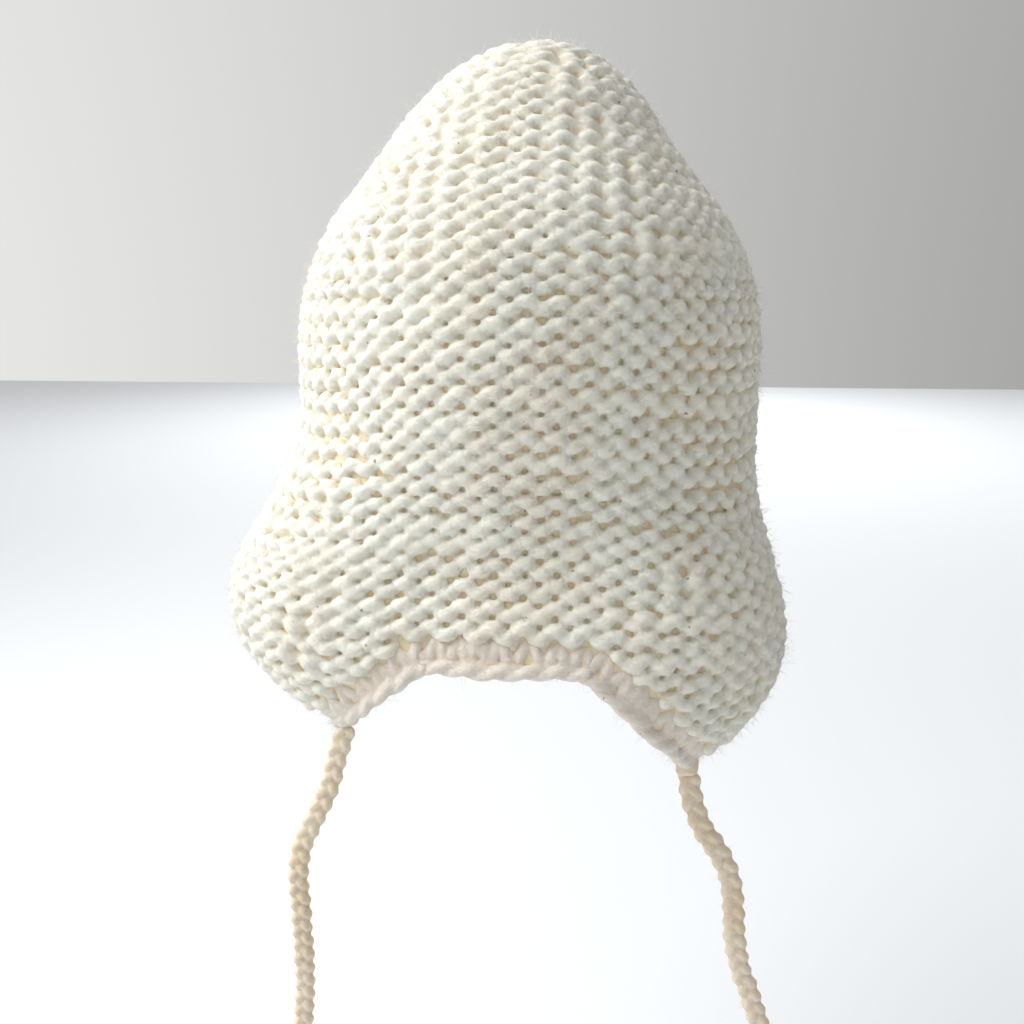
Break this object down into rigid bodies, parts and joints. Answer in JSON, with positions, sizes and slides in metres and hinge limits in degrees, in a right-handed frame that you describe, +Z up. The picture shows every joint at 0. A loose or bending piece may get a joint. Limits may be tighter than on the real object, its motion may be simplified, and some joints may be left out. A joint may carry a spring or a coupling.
{
  "type": "knit earflap hat",
  "caption": "Chunky hand-knitted wool hat with folding earflaps, a crocheted edging and plaited ties that hang from the flaps and end in knotted tassels.",
  "frame": {"origin": "centre of the head opening, level with the front hem of the hat, where the wearer's brow line is", "axes": "+Z up through the crown, the front of the hat towards -Y, +X to the right of someone looking at the front; left and right in the names are as seen from the front"},
  "size_m": [0.2165, 0.1862, 0.5847],
  "materials": {
    "wool_knit": "undyed cream wool, thick hand-spun yarn, matte and fuzzy",
    "wool_edging": "the same undyed wool, crocheted, a little more shaded and pinkish",
    "wool_tie": "the same undyed wool plaited, matte, a little yellower"
  },
  "bodies": {
    "hat": {"knit_body": "wool_knit", "crown_gather": "wool_knit", "edging_front": "wool_edging", "edging_back": "wool_edging"},
    "flap_left": {"earflap_left": "wool_knit", "edging_flap_left": "wool_edging"},
    "flap_right": {"earflap_right": "wool_knit", "edging_flap_right": "wool_edging"},
    "root_left": {"tie_root_left": "wool_tie"},
    "root_right": {"tie_root_right": "wool_tie"},
    "tie_left": {"tie_left": "wool_tie", "tie_knot_left": "wool_tie", "tassel_left": "wool_tie"},
    "tie_right": {"tie_right": "wool_tie", "tie_knot_right": "wool_tie", "tassel_right": "wool_tie"}
  },
  "joints": [
    {"name": "flap_fold_left", "type": "hinge", "parent": "hat", "child": "flap_left", "pos_m": [-0.1053, -0.0469, 0.0001], "axis": [-0.4067, 0.9136, 0], "range_deg": [0, 130]},
    {"name": "flap_fold_right", "type": "hinge", "parent": "hat", "child": "flap_right", "pos_m": [0.0947, -0.0422, -0.0037], "axis": [-0.4067, -0.9136, 0], "range_deg": [0, 130]},
    {"name": "tie_hang_left", "type": "hinge", "parent": "flap_left", "child": "root_left", "pos_m": [-0.0693, -0.0311, -0.0595], "axis": [-0.4067, 0.9136, 0], "range_deg": [-130, 5]},
    {"name": "tie_hang_right", "type": "hinge", "parent": "flap_right", "child": "root_right", "pos_m": [0.0655, -0.0316, -0.0715], "axis": [-0.4067, -0.9136, 0], "range_deg": [-130, 5]},
    {"name": "tie_swing_left", "type": "hinge", "parent": "root_left", "child": "tie_left", "pos_m": [-0.0693, -0.0311, -0.0595], "axis": [-0.9136, -0.4067, 0], "range_deg": [-60, 60]},
    {"name": "tie_swing_right", "type": "hinge", "parent": "root_right", "child": "tie_right", "pos_m": [0.0655, -0.0316, -0.0715], "axis": [0.9136, -0.4067, 0], "range_deg": [-60, 60]}
  ],
  "couplings": [
    {"joint": "tie_hang_left", "follows": "flap_fold_left", "ratio": -1},
    {"joint": "tie_hang_right", "follows": "flap_fold_right", "ratio": -1}
  ]
}
